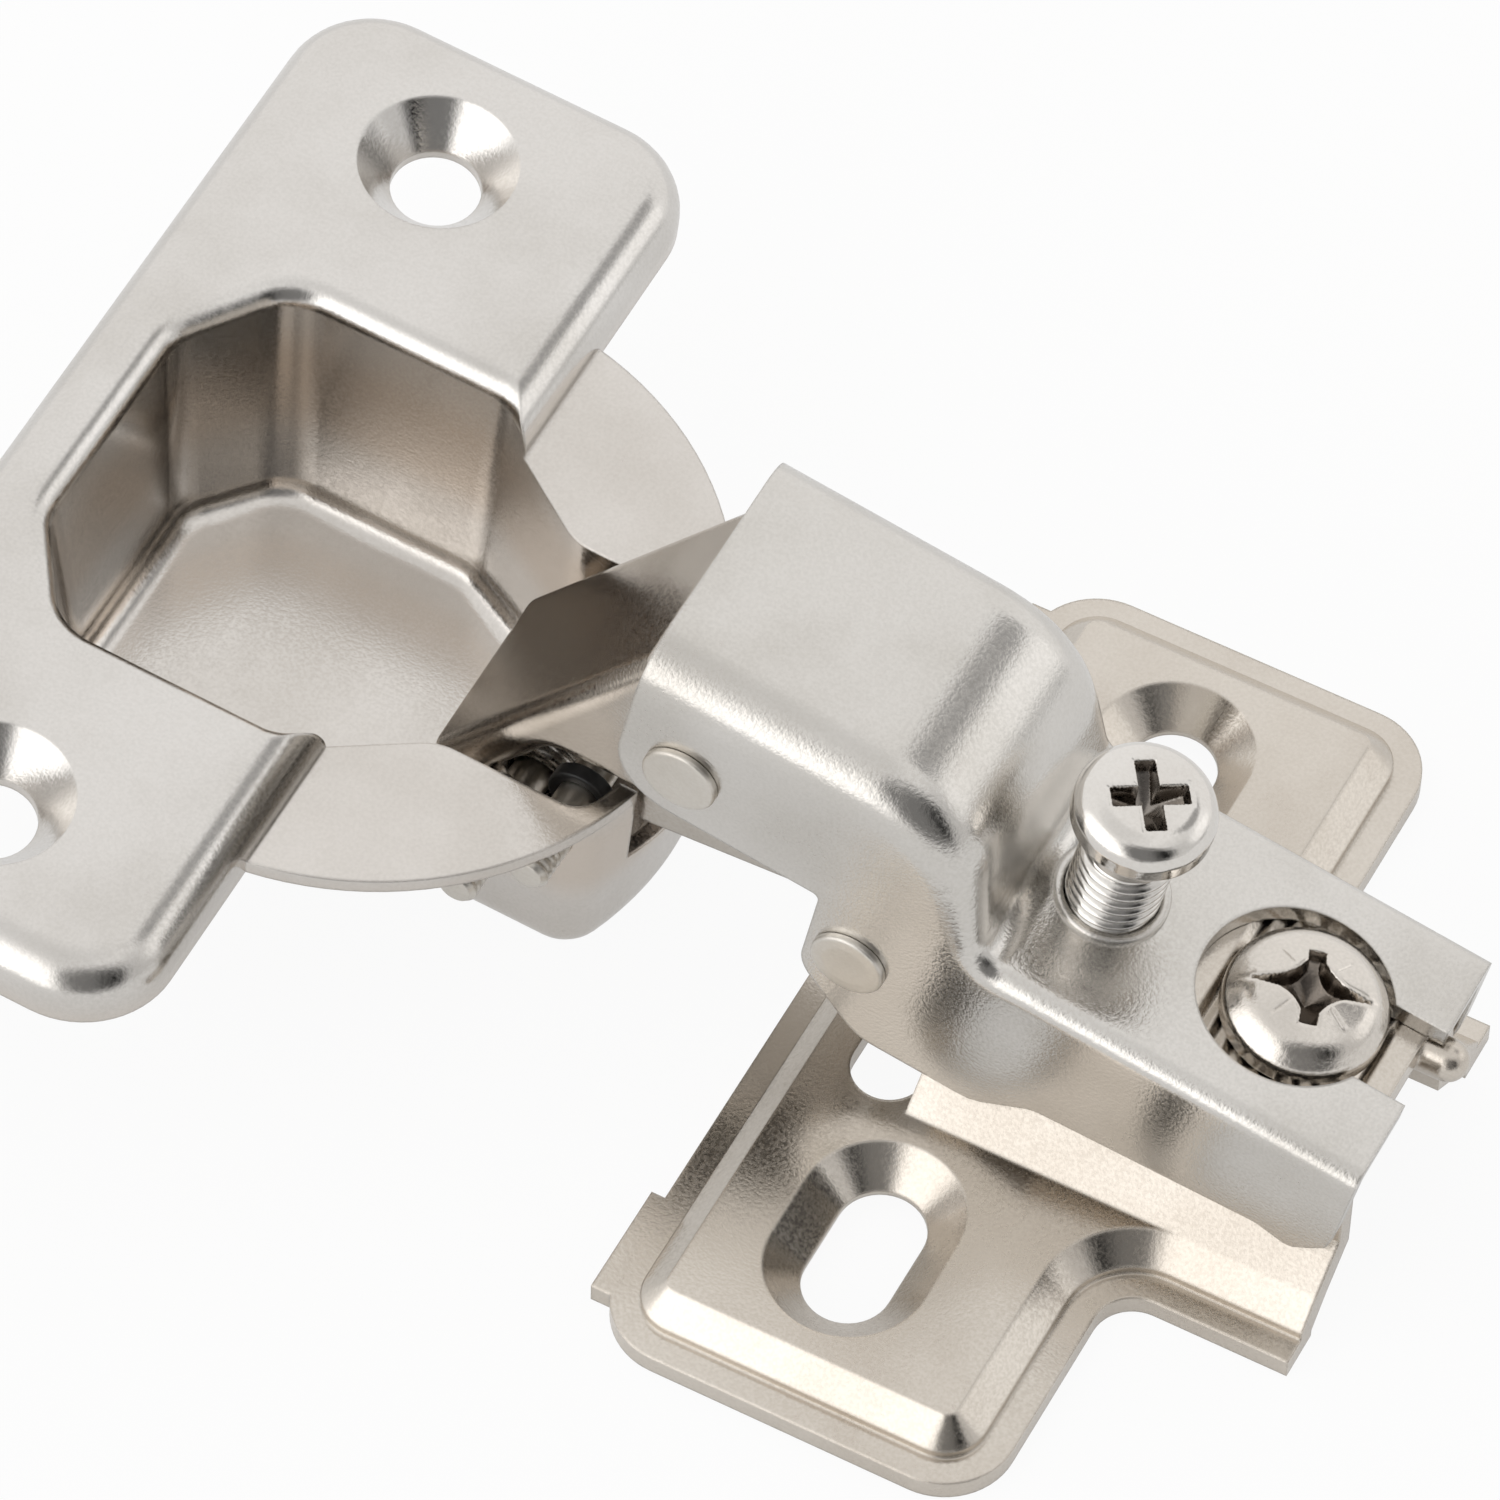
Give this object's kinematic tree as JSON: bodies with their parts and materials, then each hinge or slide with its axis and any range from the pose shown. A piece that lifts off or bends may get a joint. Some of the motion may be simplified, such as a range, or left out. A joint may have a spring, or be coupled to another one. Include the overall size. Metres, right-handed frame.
{
  "type": "concealed cup hinge",
  "caption": "Concealed cabinet hinge, shown open: flanged cup for a 35 mm bore, two links, a cranked arm and a winged mounting plate.",
  "frame": {"origin": "midway between the plate's two screw slots, on the plate's back face", "axes": "+X to the rear of the arm, away from the cup; +Y along the plate's wings; +Z away from the cabinet wall"},
  "size_m": [0.0789, 0.061, 0.0294],
  "materials": {
    "plate_nickel": "nickel-plated steel, warm grey, satin",
    "arm_nickel": "nickel-plated steel, light grey, satin",
    "cup_nickel": "nickel-plated deep-drawn steel, satin with bright edges",
    "screw_nickel": "bright nickel-plated steel",
    "rivet_steel": "plain bright steel, fine turned ends",
    "link_steel": "nickel-plated steel, darker grey",
    "spring_steel": "oiled spring steel",
    "nylon": "black moulded nylon"
  },
  "bodies": {
    "plate": {"mounting_plate": "plate_nickel"},
    "fixing_screw": {"fixing_screw": "screw_nickel"},
    "arm": {"hinge_arm": "arm_nickel", "front_rivet": "rivet_steel", "rear_rivet": "rivet_steel"},
    "adjusting_screw": {"adjusting_screw": "screw_nickel"},
    "outer_link": {"outer_link": "link_steel"},
    "inner_link": {"inner_link": "link_steel"},
    "cup": {"hinge_cup": "cup_nickel", "cup_pin": "rivet_steel", "closing_spring": "spring_steel", "nylon_washer_near": "nylon", "nylon_washer_far": "nylon"}
  },
  "joints": [
    {"name": "depth_slide", "type": "slide", "parent": "plate", "child": "arm", "axis": [0.9848, 0, -0.1736], "range_m": [-0.0001, 0.001]},
    {"name": "adjusting_turn", "type": "hinge", "parent": "arm", "child": "adjusting_screw", "pos_m": [0.0048, 0, 0.01587], "axis": [0.1736, 0, 0.9848], "continuous": true},
    {"name": "fixing_turn", "type": "hinge", "parent": "plate", "child": "fixing_screw", "pos_m": [0.01553, 0, 0.01398], "axis": [0.1736, 0, 0.9848], "continuous": true},
    {"name": "outer_link_swing", "type": "hinge", "parent": "arm", "child": "outer_link", "pos_m": [-0.01497, 0, 0.02179], "axis": [0, 1, 0], "range_deg": [-9.5, 1.2]},
    {"name": "cup_fold", "type": "hinge", "parent": "outer_link", "child": "cup", "pos_m": [-0.02612, 0, 0.00788], "axis": [0, 1, 0], "range_deg": [-9.8, 105]},
    {"name": "inner_link_swing", "type": "hinge", "parent": "arm", "child": "inner_link", "pos_m": [-0.00551, 0, 0.01271], "axis": [0, 1, 0], "range_deg": [-35, 4]}
  ],
  "couplings": [
    {"joint": "outer_link_swing", "follows": "cup_fold", "ratio": -0.08676},
    {"joint": "inner_link_swing", "follows": "cup_fold", "ratio": -0.32776}
  ]
}
